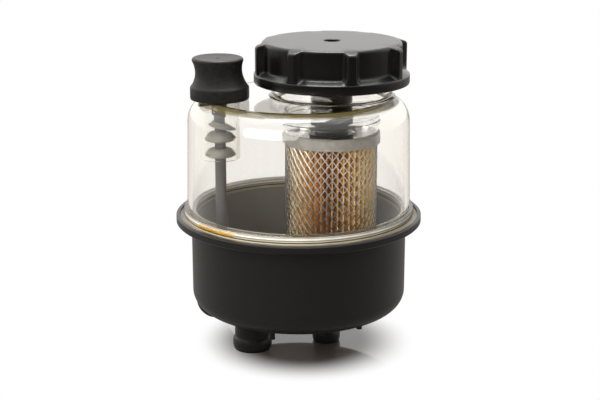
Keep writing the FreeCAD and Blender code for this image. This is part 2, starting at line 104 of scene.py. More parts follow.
# Part of the noise over which a colour runs from dark to light
NOISE_LOW = 0.35
NOISE_HIGH = 0.7

# Black plastic of the bowl outside, its inner wall made lighter with painted light, and where the inside
# begins
BOWL_DARK = (0.0024, 0.0023, 0.0021)
BOWL_LIGHT = (0.0068, 0.0064, 0.0059)
BOWL_INSIDE_PAINTED_LIGHT = (0.175, 0.168, 0.157)
INSIDE_LIGHT_SHARE = 0.75
INSIDE_START = 38.0
INSIDE_END = 41.0
WALL_OUTSIDE = 69.0
WALL_INSIDE = 67.0

# Clear plastic of the dome
PLASTIC_TINT = (0.93, 0.64, 0.02)
PLASTIC_DENSITY = 15.5
PLASTIC_IOR = 1.49

# Olive band painted on the dome's shoulder, a painted refraction of the dark parts seen through it:
# heights between which it comes and goes
SHOULDER_PAINTED_REFRACTION = (0.07, 0.057, 0.022)
SHOULDER_PAINT_SHARE = 0.7
SHOULDER_LOW = (163.6, 164.6)
SHOULDER_HIGH = (166.3, 166.48)

# Painted lines of light and shade in the dome's foot, in place of its highlights and dark refractions:
# height, and colours by share of the height
FOOT_LOW = 88.6
FOOT_HIGH = 94.5
FOOT_TOP = 94.6
FOOT_CREAM = (0.44, 0.395, 0.28)
FOOT_GREY = (0.20, 0.185, 0.16)
FOOT_HIGHLIGHT = (0.72, 0.71, 0.67)
FOOT_SHADE_LINE = (0.012, 0.011, 0.01)
FOOT_PAINTED_LINES = (
    (0.0, FOOT_CREAM), (0.28, FOOT_CREAM), (0.33, FOOT_SHADE_LINE), (0.41, FOOT_SHADE_LINE),
    (0.45, FOOT_CREAM), (0.51, FOOT_CREAM), (0.56, FOOT_GREY), (0.64, FOOT_GREY),
    (0.69, FOOT_HIGHLIGHT), (0.82, FOOT_HIGHLIGHT), (0.87, FOOT_GREY), (0.93, FOOT_CREAM),
    (1.0, FOOT_CREAM),
)
PAINT_LEAST = 0.55
PAINT_MOST = 0.95

# Sealant in the joint of dome and bowl: outline as radius and height
JOINT_STEPS = 240
JOINT_OUTLINE = (
    (68.0, 88.0), (77.3, 88.0), (77.3, 88.9), (76.2, 88.8), (75.2, 89.1),
    (74.6, 89.7), (74.45, 89.7), (74.45, 88.65), (68.1, 88.65),
)

# String of sealant squeezed out onto the dome's foot: angles in degrees, and size
STRING_START = 212.0
STRING_END = 241.0
STRING_RADIUS = 74.5
STRING_DEPTH = 1.6
STRING_HEIGHT = 92.5
STRING_HALF = 1.15
STRING_THIN = 0.05
STRING_HEAD = 0.12
STRING_TAIL = 0.2
STRING_STEPS = 90
STRING_SIDES = 10

# Unevenness of the string: its mean, and waves as strength, rate and start
STRING_MEAN = 0.82
STRING_WAVES = ((0.12, 23, 0), (0.06, 61, 1))

# Axes of the filter, which the cap shares, and of the dipstick, read from the frame
mesh_low, mesh_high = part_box("filter_mesh")
stem_low, stem_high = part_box("dipstick_stem")
FILTER_AXIS = (mesh_low + mesh_high) / 2
DIPSTICK_AXIS = (stem_low + stem_high) / 2

# Expanded metal jacket of the filter: diamonds round and up, width of a strand as a share, and its form
JACKET_COLUMNS = 40
JACKET_ROWS = 16
JACKET_SHARE = 0.145
JACKET_THICKNESS = 0.35
JACKET_TILT = 0.2

# Painted light on the steel: painted shade where place times direction is low and a painted highlight
# where it is high, in millimetres
STEEL_LIGHT_DIRECTION = (0.9, 0.0, 1.0)
STEEL_SHADE_REACH = 94.0
STEEL_LIGHT_REACH = 162.0
STEEL_PAINTED_SHADE = (0.032, 0.034, 0.032)
STEEL_PAINTED_LIGHT = (0.6, 0.61, 0.6)

# Paper: radii of the folds and crests of its pleats, and colours by share of the way between them, with
# painted shade in the folds and painted light on the crests
PAPER_FOLD = 20.0
PAPER_CREST = 29.4
PAPER_MOTTLE = 0.35
PAPER_SHIFT = 0.17
PAPER_SHADE_AND_LIGHT = (
    (0.0, (0.42, 0.14, 0.012)), (0.68, (0.82, 0.37, 0.03)),
    (0.86, (1.0, 0.73, 0.22)), (1.0, (1.0, 0.88, 0.44)),
)

# Upper end of the filter: radius inside its rim, and height of the collar's foot
RIM_INSIDE = 30.2
COLLAR_FOOT = 143.1

# Cap: eight lugs round a turned body, with angles in degrees from the middle of a lug
LUG_COUNT = 8
LUG_TURN = 13.6 - 90.0
LUG_FLAT = 2.3
LUG_ROOT = 6.6
LUG_SPREAD = 1.6
LUG_FOOT_LOW = 181.0
LUG_FOOT_HIGH = 187.0
LUG_OFFSETS = (0, 1.4, 2.3, 2.9, 3.5, 4.1, 4.7, 5.3, 5.9, 6.6, 7.4, 8.3, 10.5, 13.0, 16.0, 19.2)

# Cap's upper edges: centres as radius and height, between the lugs and on them, and angles in degrees
BODY_EDGE = (42.7, 199.0)
LUG_EDGE = (47.5, 197.5)
EDGE_RADIUS = 2.2
EDGE_TURNS = (15, 30, 45, 60)
BODY_TURN = 1.25

# Grip of the dipstick, which leans to one side, and the socket in it, which stays upright
GRIP_LEAN = -1.3
LEAN_START = 174.0
LEAN_END = 200.0
SOCKET_RADIUS = 4.0
SOCKET_TOP = 190.0
GRIP_STEPS = 96

# Uppermost splash disc, which hangs askew on the rod: outline as radius and height above its lower side
DISC_TILT = -0.17
DISC_SHIFT = 1.6
DISC_HUB = 4.5
DISC_BRIM = 7.0
DISC_STEPS = 64
DISC_OUTLINE = (
    (3.9, 0.9), (6.0, 0.5), (7.4, 0.0), (8.2, 0.1), (8.6, 0.6), (8.2, 1.1),
    (7.4, 1.4), (6.4, 2.2), (5.1, 2.6), (5.0, 3.4), (4.8, 3.6), (3.9, 3.6),
)

# Thread on the filler neck: pitch and height, and its section
THREAD_PITCH = 4.0
THREAD_TURNS = 3.2
THREAD_START = 178.0
THREAD_STEPS = 64
THREAD_TAPER = 0.15
THREAD_THIN = 0.05
THREAD_ROOT = 38.2
THREAD_CREST = 39.35
THREAD_SECTION = ((THREAD_ROOT, -1.1), (THREAD_CREST, -0.35), (THREAD_CREST, 0.35), (THREAD_ROOT, 1.1))

# Coil spring of the hold-down
SPRING_WIRE = 0.8
SPRING_TURNS = 9
SPRING_STEPS = 40
SPRING_SIDES = 8

# Edges sharper than these angles, in degrees, aren't smoothed
NODE_EDGE = 30.0
PIECE_EDGE = 35.0
DISC_EDGE = 40.0
CAP_EDGE = 50.0
GRIP_EDGE = 50.0
STRING_EDGE = 60.0


def ramp(tree, value, start, end, low=0.0, high=1.0, kind="SMOOTHSTEP"):
    """Output that runs from low to high while a value runs from start to end."""
    node = tree.nodes.new("ShaderNodeMapRange")
    node.interpolation_type = kind
    node.inputs["From Min"].default_value = start
    node.inputs["From Max"].default_value = end
    node.inputs["To Min"].default_value = low
    node.inputs["To Max"].default_value = high
    tree.links.new(value, node.inputs["Value"])
    return node.outputs["Result"]


def length_along(tree, vector, direction):
    """Dot product of a vector with a direction."""
    node = tree.nodes.new("ShaderNodeVectorMath")
    node.operation = "DOT_PRODUCT"
    node.inputs[1].default_value = direction
    tree.links.new(vector, node.inputs[0])
    return node.outputs["Value"]


def combine(tree, operation, first, second):
    """One output from two, such as their product."""
    node = tree.nodes.new("ShaderNodeMath")
    node.operation = operation
    tree.links.new(first, node.inputs[0])
    tree.links.new(second, node.inputs[1])
    return node.outputs[0]


def compare(tree, operation, value, limit):
    """1 where a value lies on the asked side of a limit, and 0 elsewhere."""
    node = tree.nodes.new("ShaderNodeMath")
    node.operation = operation
    node.inputs[1].default_value = limit
    tree.links.new(value, node.inputs[0])
    return node.outputs[0]


def mottle(tree, noise, base, amount):
    """Base with an amount of noise on top."""
    node = tree.nodes.new("ShaderNodeMath")
    node.operation = "MULTIPLY_ADD"
    node.inputs[1].default_value = amount
    tree.links.new(noise, node.inputs[0])
    tree.links.new(base, node.inputs[2])
    return node.outputs[0]


def blend_shaders(tree, share, first, second):
    """First shader where the share is 0, second where it is 1."""
    node = tree.nodes.new("ShaderNodeMixShader")
    tree.links.new(share, node.inputs["Fac"])
    tree.links.new(first, node.inputs[1])
    tree.links.new(second, node.inputs[2])
    return node.outputs[0]


def colour_ramp(tree, value, stops):
    """Colour that follows a value through stops of position and colour."""
    node = tree.nodes.new("ShaderNodeValToRGB")
    elements = node.color_ramp.elements
    for element, (position, colour) in zip(elements, (stops[0], stops[-1])):
        element.position = position
        element.color = (*colour, 1)
    for position, colour in stops[1:-1]:
        elements.new(position).color = (*colour, 1)
    tree.links.new(value, node.inputs["Fac"])
    return node.outputs["Color"]


def object_place(tree):
    """Place in the object's own coordinates, in metres."""
    return tree.nodes.new("ShaderNodeTexCoord").outputs["Object"]


def ramp_by_height(tree, start, end, low=0.0, high=1.0, kind="SMOOTHSTEP"):
    """Ramp between two heights."""
    height = length_along(tree, object_place(tree), UP)
    return ramp(tree, height, start * MM, end * MM, low, high, kind)


def radial_distance(tree, axis):
    """Distance in millimetres from an upright axis."""
    shift = tree.nodes.new("ShaderNodeVectorMath")
    shift.operation = "SUBTRACT"
    shift.inputs[1].default_value = (axis.x, axis.y, 0)
    tree.links.new(object_place(tree), shift.inputs[0])
    flat = tree.nodes.new("ShaderNodeVectorMath")
    flat.operation = "MULTIPLY"
    flat.inputs[1].default_value = (1 / MM, 1 / MM, 0)
    tree.links.new(shift.outputs[0], flat.inputs[0])
    distance = tree.nodes.new("ShaderNodeVectorMath")
    distance.operation = "LENGTH"
    tree.links.new(flat.outputs[0], distance.inputs[0])
    return distance.outputs["Value"]


def seen_directly(tree, place, start, end):
    """1 for a ray from the camera, also when it passed through clear plastic and went on to the back."""
    rays = tree.nodes.new("ShaderNodeLightPath")
    behind = ramp(tree, length_along(tree, place, BACK), start, end)
    through = combine(tree, "MULTIPLY", rays.outputs["Is Transmission Ray"], behind)
    return combine(tree, "MAXIMUM", rays.outputs["Is Camera Ray"], through)


def make_camera():
    """Camera that sees the object as the photograph does."""
    data = bpy.data.cameras.new("photo_camera")
    data.lens = CAMERA_LENS
    data.sensor_width = SENSOR_WIDTH
    camera = bpy.data.objects.new("photo_camera", data)
    camera.location = CAMERA_PLACE
    camera.rotation_euler = (math.pi / 2 - CAMERA_PITCH, 0, 0)
    bpy.context.scene.collection.objects.link(camera)
    bpy.context.scene.camera = camera


def make_softbox(name, place, target, width, height, power, in_gloss=True, through_plastic=True):
    """Soft lamp that looks at a target."""
    data = bpy.data.lights.new(name, "AREA")
    data.shape = "RECTANGLE"
    data.size = width
    data.size_y = height
    data.energy = power
    lamp = bpy.data.objects.new(name, data)
    lamp.location = place
    aim = Vector(target) - Vector(place)
    lamp.rotation_euler = aim.to_track_quat("-Z", "Y").to_euler()
    lamp.visible_glossy = in_gloss
    lamp.visible_transmission = through_plastic
    bpy.context.scene.collection.objects.link(lamp)


def make_lamps():
    """Two lamps above, and a large one at the left in front that leaves no highlight."""
    make_softbox(
        "top_softbox", place=(0.0, 0.25, 0.95), target=(0, 0, 0.1),
        width=0.9, height=0.7, power=4.0,
    )
    make_softbox(
        "edge_light", place=(0.0, 0.1, 0.95), target=(0, 0, 0.1),
        width=0.45, height=0.35, power=6.0, through_plastic=False,
    )
    make_softbox(
        "front_fill", place=(-0.45, -0.8, 0.55), target=(0, 0, 0.12),
        width=1.1, height=0.9, power=27.0, in_gloss=False,
    )


def make_world():
    """White backdrop, in a room that is bright behind and above the object and dark in front."""
    world = bpy.data.worlds.new("studio")
    bpy.context.scene.world = world
    world.use_nodes = True
    tree = world.node_tree
    tree.nodes.clear()
    direction = tree.nodes.new("ShaderNodeTexCoord").outputs["Generated"]
    room = tree.nodes.new("ShaderNodeBackground")
    room.inputs["Color"].default_value = (*ROOM_COLOUR, 1)
    reach = length_along(tree, direction, ROOM_DIRECTION)
    strength = ramp(tree, reach, ROOM_START, ROOM_END, ROOM_FRONT, ROOM_BACK)
    tree.links.new(strength, room.inputs["Strength"])
    backdrop = tree.nodes.new("ShaderNodeBackground")
    backdrop.inputs["Color"].default_value = (1, 1, 1, 1)
    seen = seen_directly(tree, direction, BACKDROP_START, BACKDROP_END)
    whole = blend_shaders(tree, seen, room.outputs[0], backdrop.outputs[0])
    out = tree.nodes.new("ShaderNodeOutputWorld")
    tree.links.new(whole, out.inputs["Surface"])


def make_floor():
    """Wide plane that the object stands on."""
    bpy.ops.mesh.primitive_plane_add(size=FLOOR_SIZE)
    floor = bpy.context.object
    floor.name = "floor"
    floor.data.materials.append(floor_acrylic())


def floor_acrylic():
    """Polished floor that mirrors the object, dark near it with a painted shadow on top of the real one,
    and fades to plain white away from it.
    """
    # Dark base colour: a painted shadow near the object
    material, shader = new_material("acrylic_painted_shadow", FLOOR_SHADOW_COLOUR, FLOOR_ROUGHNESS)
    tree = material.node_tree
    mirror = tree.nodes.new("ShaderNodeBsdfGlossy")
    mirror.inputs["Color"].default_value = (*MIRROR_COLOUR, 1)
    mirror.inputs["Roughness"].default_value = MIRROR_ROUGHNESS
    polish = tree.nodes.new("ShaderNodeMixShader")
    polish.inputs["Fac"].default_value = MIRROR_SHARE
    tree.links.new(shader.outputs[0], polish.inputs[1])
    tree.links.new(mirror.outputs[0], polish.inputs[2])
    fade = ramp(tree, radial_distance(tree, FADE_CENTRE), FADE_START, FADE_END)
    seen = seen_directly(tree, object_place(tree), FLOOR_FRONT_START, FLOOR_FRONT_END)
    share = combine(tree, "MULTIPLY", fade, seen)
    white = tree.nodes.new("ShaderNodeEmission")
    set_surface(tree, blend_shaders(tree, share, polish.outputs[0], white.outputs[0]))
    return material


def set_surface(tree, surface):
    """Makes a shader's output the material's surface."""
    tree.links.new(surface, tree.nodes["Material Output"].inputs["Surface"])


def new_material(name, colour, roughness):
    """Material with one shader. Returns the material and its shader."""
    material = bpy.data.materials.new(name)
    material.use_nodes = True
    shader = material.node_tree.nodes["Principled BSDF"]
    shader.inputs["Base Color"].default_value = (*colour, 1)
    shader.inputs["Roughness"].default_value = roughness
    return material, shader


def new_shader(tree, colour, roughness):
    """One more shader for a material."""
    shader = tree.nodes.new("ShaderNodeBsdfPrincipled")
    shader.inputs["Base Color"].default_value = (*colour, 1)
    shader.inputs["Roughness"].default_value = roughness
    return shader


def add_noise(tree, scale, detail=4.0):
    """Noise in the object's own coordinates."""
    noise = tree.nodes.new("ShaderNodeTexNoise")
    noise.inputs["Scale"].default_value = scale
    noise.inputs["Detail"].default_value = detail
    tree.links.new(object_place(tree), noise.inputs["Vector"])
    return noise.outputs["Fac"]


def vary_colour(tree, shader, noise, dark, light):
    """Base colour runs from dark to light with the noise."""
    colour = colour_ramp(tree, noise, ((NOISE_LOW, dark), (NOISE_HIGH, light)))
    tree.links.new(colour, shader.inputs["Base Color"])


def add_bump(tree, shader, noise, depth):
    """Fine grain of a depth in metres."""
    bump = tree.nodes.new("ShaderNodeBump")
    bump.inputs["Strength"].default_value = BUMP_STRENGTH
    bump.inputs["Distance"].default_value = depth
    tree.links.new(noise, bump.inputs["Height"])
    tree.links.new(bump.outputs["Normal"], shader.inputs["Normal"])


def grained(name, dark, light, roughness, grain, depth):
    """Moulded plastic or rubber with a fine grain. Returns the material and its shader."""
    material, shader = new_material(name, dark, roughness)
    tree = material.node_tree
    vary_colour(tree, shader, add_noise(tree, grain * SPOT_SHARE, SPOT_DETAIL), dark, light)
    add_bump(tree, shader, add_noise(tree, grain), depth)
    return material, shader


def mottled(name, dark, light, roughness, scale):
    """Material with soft spots. Returns the material and its shader."""
    material, shader = new_material(name, dark, roughness)
    vary_colour(material.node_tree, shader, add_noise(material.node_tree, scale), dark, light)
    return material, shader


def cap_plastic():
    dark = (0.0009, 0.0009, 0.0008)
    light = (0.0018, 0.0017, 0.0016)
    return grained("cap_plastic", dark, light, roughness=0.28, grain=3000, depth=0.00001)[0]


def plug_rubber():
    dark = (0.0014, 0.0013, 0.0012)
    light = (0.008, 0.0076, 0.0069)
    return grained("plug_rubber", dark, light, roughness=0.5, grain=2200, depth=0.00005)[0]


def inner_plastic():
    """Black plastic of the hold-down, less shiny than the cap's."""
    dark = (0.0024, 0.0024, 0.0025)
    light = (0.005, 0.005, 0.0052)
    material, shader = grained("inner_plastic", dark, light, roughness=0.3, grain=2500, depth=0.00001)
    shader.inputs["Specular IOR Level"].default_value = 0.2
    return material


def stem_plastic():
    dark = (0.042, 0.042, 0.042)
    light = (0.061, 0.061, 0.061)
    return grained("stem_plastic", dark, light, roughness=0.5, grain=2500, depth=0.00002)[0]


def disc_plastic():
    dark = (0.29, 0.283, 0.258)
    light = (0.40, 0.39, 0.355)
    return grained("disc_plastic", dark, light, roughness=0.5, grain=2500, depth=0.00002)[0]


def brown_sealant():
    return mottled("brown_sealant", (0.07, 0.055, 0.035), (0.15, 0.12, 0.075), roughness=0.3, scale=60)[0]


def amber_sealant():
    return mottled("amber_sealant", (0.24, 0.125, 0.011), (0.42, 0.22, 0.02), roughness=0.3, scale=60)[0]


def milky_plastic():
    return mottled("milky_plastic", (0.66, 0.65, 0.63), (0.80, 0.79, 0.77), roughness=0.35, scale=300)[0]


def grey_foam():
    return mottled("grey_foam", (0.2, 0.2, 0.2), (0.4, 0.4, 0.4), roughness=0.9, scale=900)[0]


def bowl_plastic():
    """Black moulded plastic, lighter on the inner wall with painted light."""
    material, shader = new_material("bowl_plastic", BOWL_DARK, roughness=0.36)
    tree = material.node_tree
    radius = radial_distance(tree, Vector((0, 0, 0)))
    # Painted light: the inner wall above the floor is made lighter
    within = ramp(tree, radius, WALL_OUTSIDE, WALL_INSIDE, high=INSIDE_LIGHT_SHARE, kind="LINEAR")
    inside = combine(tree, "MULTIPLY", ramp_by_height(tree, INSIDE_START, INSIDE_END), within)
    tone = mottle(tree, add_noise(tree, scale=1400, detail=SPOT_DETAIL), inside, amount=0.4)
    colour = colour_ramp(tree, tone, ((0.1, BOWL_DARK), (0.3, BOWL_LIGHT), (0.9, BOWL_INSIDE_PAINTED_LIGHT)))
    tree.links.new(colour, shader.inputs["Base Color"])
    add_bump(tree, shader, add_noise(tree, scale=4000), depth=0.00002)
    return material


def dome_plastic():
    """Clear plastic with a faint tint, a painted olive refraction on the shoulder, and painted lines of
    light and shade in the foot.
    """
    material, clear = new_material("clear_plastic", (1, 1, 1), roughness=0.0)
    clear.inputs["Transmission Weight"].default_value = 1.0
    clear.inputs["IOR"].default_value = PLASTIC_IOR
    tree = material.node_tree
    absorb = tree.nodes.new("ShaderNodeVolumeAbsorption")
    absorb.inputs["Color"].default_value = (*PLASTIC_TINT, 1)
    absorb.inputs["Density"].default_value = PLASTIC_DENSITY
    tree.links.new(absorb.outputs[0], tree.nodes["Material Output"].inputs["Volume"])
    shouldered = add_shoulder(tree, clear.outputs[0])
    set_surface(tree, add_foot(tree, shouldered))
    return material


def add_shoulder(tree, clear):
    """Olive band painted round the dome's shoulder, a painted refraction of dark parts where one looks
    through much plastic.
    """
    olive = new_shader(tree, SHOULDER_PAINTED_REFRACTION, roughness=0.15)
    olive.inputs["Specular IOR Level"].default_value = 0.1
    # Painted refraction: an olive band between two heights
    rise = ramp_by_height(tree, *SHOULDER_LOW, high=SHOULDER_PAINT_SHARE)
    fall = ramp_by_height(tree, *SHOULDER_HIGH, low=1.0, high=0.0)
    band = combine(tree, "MULTIPLY", rise, fall)
    return blend_shaders(tree, band, clear, olive.outputs[0])


def add_foot(tree, clear):
    """Painted highlights and painted dark lines in the foot, where the dome is stuck to the bowl."""
    foot_paint = new_shader(tree, FOOT_CREAM, roughness=0.3)
    # Painted highlights and painted shade lines, by height in the foot
    lift = ramp_by_height(tree, FOOT_LOW, FOOT_HIGH, kind="LINEAR")
    tree.links.new(colour_ramp(tree, lift, FOOT_PAINTED_LINES), foot_paint.inputs["Base Color"])
    low = ramp_by_height(tree, FOOT_HIGH, FOOT_TOP, low=1.0, high=0.0)
    uneven = ramp(tree, add_noise(tree, scale=90), 0.0, 1.0, PAINT_LEAST, PAINT_MOST, "LINEAR")
    share = combine(tree, "MULTIPLY", low, uneven)
    return blend_shaders(tree, share, clear, foot_paint.outputs[0])


def galvanised_steel():
    """Zinc-coated steel with painted light: bright at the upper right, and darker with painted shade at
    the lower left.
    """
    material, shader = new_material("galvanised_steel", STEEL_PAINTED_SHADE, roughness=0.38)
    shader.inputs["Metallic"].default_value = 0.4
    tree = material.node_tree
    # Painted light and shade: lighter towards the upper right, darker towards the lower left
    reach = length_along(tree, object_place(tree), STEEL_LIGHT_DIRECTION)
    lift = ramp(tree, reach, STEEL_SHADE_REACH * MM, STEEL_LIGHT_REACH * MM)
    tone = mottle(tree, add_noise(tree, scale=700), lift, amount=0.2)
    colour = colour_ramp(tree, tone, ((0.05, STEEL_PAINTED_SHADE), (1.0, STEEL_PAINTED_LIGHT)))
    tree.links.new(colour, shader.inputs["Base Color"])
    return material


def pleated_paper():
    """Resin-treated ochre paper with painted light: cream on the crests of the pleats, and brown painted
    shade in the folds.
    """
    material, shader = new_material("pleated_paper", PAPER_SHADE_AND_LIGHT[1][1], roughness=0.8)
    tree = material.node_tree
    radius = radial_distance(tree, FILTER_AXIS)
    # Painted shade in the folds and painted light on the crests, by distance from the axis
    depth = ramp(tree, radius, PAPER_FOLD, PAPER_CREST, -PAPER_SHIFT, 1 - PAPER_SHIFT, "LINEAR")
    tone = mottle(tree, add_noise(tree, scale=260), depth, PAPER_MOTTLE)
    tree.links.new(colour_ramp(tree, tone, PAPER_SHADE_AND_LIGHT), shader.inputs["Base Color"])
    return material


def filter_top_plastic():
    """Plastic of the filter's upper end: hazy in the rim, shiny on the plate, clear in the collar."""
    dark = (0.43, 0.405, 0.37)
    light = (0.58, 0.55, 0.51)
    material, rim = mottled("filter_top_plastic", dark, light, roughness=0.4, scale=300)
    rim.inputs["Transmission Weight"].default_value = 0.45
    tree = material.node_tree
    plate = new_shader(tree, (0.92, 0.91, 0.89), roughness=0.12)
    plate.inputs["Metallic"].default_value = 0.7
    collar = new_shader(tree, (0.93, 0.93, 0.93), roughness=0.03)
    collar.inputs["Transmission Weight"].default_value = 1.0
    collar.inputs["IOR"].default_value = 1.45
    inside = compare(tree, "LESS_THAN", radial_distance(tree, FILTER_AXIS), RIM_INSIDE)
    height = length_along(tree, object_place(tree), UP)
    above = compare(tree, "GREATER_THAN", height, COLLAR_FOOT * MM)
    lower = blend_shaders(tree, inside, rim.outputs[0], plate.outputs[0])
    set_surface(tree, blend_shaders(tree, above, lower, collar.outputs[0]))
    return material


def paint(node, material):
    """Gives a CAD node its material."""
    mesh = NODES[node].data
    mesh.materials.clear()
    mesh.materials.append(material)
    mesh.shade_smooth()
    mesh.set_sharp_from_angle(angle=math.radians(NODE_EDGE))


def mesh_object(name, points, faces, material):
    """Object of one smooth mesh, from points in millimetres."""
    mesh = bpy.data.meshes.new(name)
    mesh.from_pydata([Vector(point) * MM for point in points], [], faces)
    mesh.materials.append(material)
    mesh.shade_smooth()
    piece = bpy.data.objects.new(name, mesh)
    bpy.context.scene.collection.objects.link(piece)
    return piece


def face_outward(mesh):
    """Turns all faces of a closed mesh outward."""
    work = bmesh.new()
    work.from_mesh(mesh)
    bmesh.ops.recalc_face_normals(work, faces=work.faces)
    work.to_mesh(mesh)
    work.free()


def new_piece(name, points, faces, material, body, replaced, angle=PIECE_EDGE):
    """Piece that rides on a body, and that stands for a CAD node if one is named."""
    piece = mesh_object(name, points, faces, material)
    face_outward(piece.data)
    piece.data.set_sharp_from_angle(angle=math.radians(angle))
    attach(piece, body)
    if replaced:
        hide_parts(replaced)


def around_axis(axis, radius, angle, height):
    """Point in millimetres round an upright axis."""
    x = axis.x / MM + radius * math.cos(angle)
    y = axis.y / MM + radius * math.sin(angle)
    return (x, y, height)


def mix(a, b, share):
    """Value a share of the way from a to b."""
    return a + (b - a) * share


def smooth_step(start, end, value):
    """Smooth rise from 0 to 1 while a value runs from start to end."""
    share = min(max((value - start) / (end - start), 0), 1)
    return share * share * (3 - 2 * share)


def ring_faces(columns, rows, close_rows):
    """Quads of a grid that closes round the axis, and also along its rows if asked."""
    faces = []
    last = rows if close_rows else rows - 1
    for column in range(columns):
        here = column * rows
        beside = (column + 1) % columns * rows
        for row in range(last):
            above = (row + 1) % rows
            faces.append((here + row, beside + row, beside + above, here + above))
    return faces


def tube_faces(steps, sides):
    """Faces of a tube with closed ends, whose points come in rings."""
    faces = [list(range(sides)), [steps * sides + side for side in reversed(range(sides))]]
    for step in range(steps):
        here = step * sides
        for side in range(sides):
            beside = (side + 1) % sides
            faces.append((here + side, here + beside, here + sides + beside, here + sides + side))
    return faces


def jacket_corners(column, row, step, rise):
    """Corners of one crossing of the jacket: right, top, left and bottom, outside then inside."""
    middle = (mesh_high.x - mesh_low.x) / 2 / MM - JACKET_TILT
    bottom = mesh_low.z / MM + rise * JACKET_SHARE
    spots = (
        (JACKET_SHARE, 0, -JACKET_TILT),
        (0, JACKET_SHARE, -JACKET_TILT),
        (-JACKET_SHARE, 0, JACKET_TILT),
        (0, -JACKET_SHARE, JACKET_TILT),
    )
    corners = []
    for depth in (0, JACKET_THICKNESS):
        for across, up, out in spots:
            angle = (column + across) * step
            height = bottom + (row + up) * rise
            corners.append(around_axis(FILTER_AXIS, middle + out - depth, angle, height))
    return corners


def crossing_faces(here, row, rows):
    """Outer and inner face of a crossing, with the ends that the first and the last row have."""
    faces = [[here + corner for corner in (0, 1, 2, 3)], [here + corner for corner in (7, 6, 5, 4)]]
    if row == 0:
        faces += [(here + 2, here + 3, here + 7, here + 6), (here + 3, here, here + 4, here + 7)]
    if row == rows:
        faces += [(here, here + 1, here + 5, here + 4), (here + 1, here + 2, here + 6, here + 5)]
    return faces


def strand_faces(strand):
    """Four sides of a strand, from its outer corners. The inner ones come four numbers later."""
    first, second, third, fourth = strand
    return [
        strand,
        [corner + 4 for corner in reversed(strand)],
        (first, first + 4, second + 4, second),
        (third, third + 4, fourth + 4, fourth),
    ]


def make_jacket(material):
    """Expanded metal round the filter: staggered diamond gaps between strands."""
    columns = 2 * JACKET_COLUMNS
    rows = 2 * JACKET_ROWS
    step = 2 * math.pi / columns
    rise = (mesh_high.z - mesh_low.z) / MM / (rows + 2 * JACKET_SHARE)
    points = []
    first = {}
    for row in range(rows + 1):
        for column in range(row % 2, columns, 2):
            first[(column, row)] = len(points)
            points += jacket_corners(column, row, step, rise)
    faces = []
    for (column, row), here in first.items():
        faces += crossing_faces(here, row, rows)
        if row < rows:
            right = first[((column + 1) % columns, row + 1)]
            left = first[((column - 1) % columns, row + 1)]
            faces += strand_faces((here, right + 3, right + 2, here + 1))
            faces += strand_faces((here + 1, left, left + 3, here + 2))
    new_piece("expanded_jacket", points, faces, material, "tank", "filter_mesh")


def lug_share(offset, height):
    """1 on a lug's face and 0 between lugs. A lug's foot spreads towards the ring."""
    spread = LUG_SPREAD * (1 - smooth_step(LUG_FOOT_LOW, LUG_FOOT_HIGH, height))
    return 1 - smooth_step(LUG_FLAT, LUG_ROOT + spread, abs(offset))


def on_edge(centre, turn):
    """Place on a rounded upper edge of the cap, as radius and height."""
    angle = math.radians(turn)
    return (centre[0] + EDGE_RADIUS * math.cos(angle), centre[1] + EDGE_RADIUS * math.sin(angle))


def cap_wall():
    """Rows of the cap's wall, from the ring to the top: place between lugs, and place on a lug."""
    rows = [((48.2, 181.5), (49.55, 181.3)), ((46.6, 182.45), (49.65, 182.2))]
    rows += [((45.3, 183.25), (49.7, 183.1)), ((44.95, 183.9), (49.7, 183.9))]
    rows += [((44.9, height), (49.7, height)) for height in (185.0, 187.5, 193.0)]
    rows.append(((44.9, 198.9), (49.7, 197.5)))
    rows += [(on_edge(BODY_EDGE, turn * BODY_TURN), on_edge(LUG_EDGE, turn)) for turn in EDGE_TURNS]
    rows += [((42.9, 201.17), (46.4, 200.2)), ((42.2, 201.2), (44.0, 200.85))]
    return rows


def cap_outline(offset):
    """Closed outline of the cap, as radius and height, at an angle from the middle of the nearest lug."""
    outline = [(40.1, 174.6), (49.2, 174.6), (49.8, 174.85), (50.0, 175.4), (50.0, 178.0), (50.0, 180.0)]
    outline += [(49.85, 180.5), (49.45, 180.8)]
    for between, on_lug in cap_wall():
        lug = lug_share(offset, between[1])
        outline.append((mix(between[0], on_lug[0], lug), mix(between[1], on_lug[1], lug)))
    outline += [(40.5, 201.2), (30.0, 201.2), (18.0, 201.2), (8.0, 201.2), (5.9, 201.2), (5.45, 201.05)]
    outline += [(5.25, 200.7), (5.25, 199.5), (5.1, 199.4), (1.6, 199.4), (1.6, 197.5), (13.9, 197.5)]
    outline += [(13.9, 188.4), (15.3, 188.4), (15.3, 185.0), (13.9, 185.0), (13.9, 179.9), (14.2, 179.5)]
    outline += [(16.4, 179.5), (16.7, 179.9), (16.7, 197.1), (17.1, 197.5), (39.7, 197.5), (40.1, 197.1)]
    return outline


def make_cap(material):
    """Filler cap with rounded lugs that run out into its lower ring."""
    offsets = [-offset for offset in reversed(LUG_OFFSETS[1:])] + list(LUG_OFFSETS)
    points = []
    for index in range(LUG_COUNT):
        for offset in offsets:
            angle = math.radians(LUG_TURN + 360 / LUG_COUNT * index + offset)
            for radius, height in cap_outline(offset):
                points.append(around_axis(FILTER_AXIS, radius, angle, height))
    faces = ring_faces(LUG_COUNT * len(offsets), len(cap_outline(0)), True)
    new_piece("moulded_cap", points, faces, material, "cap", "filler_cap", CAP_EDGE)


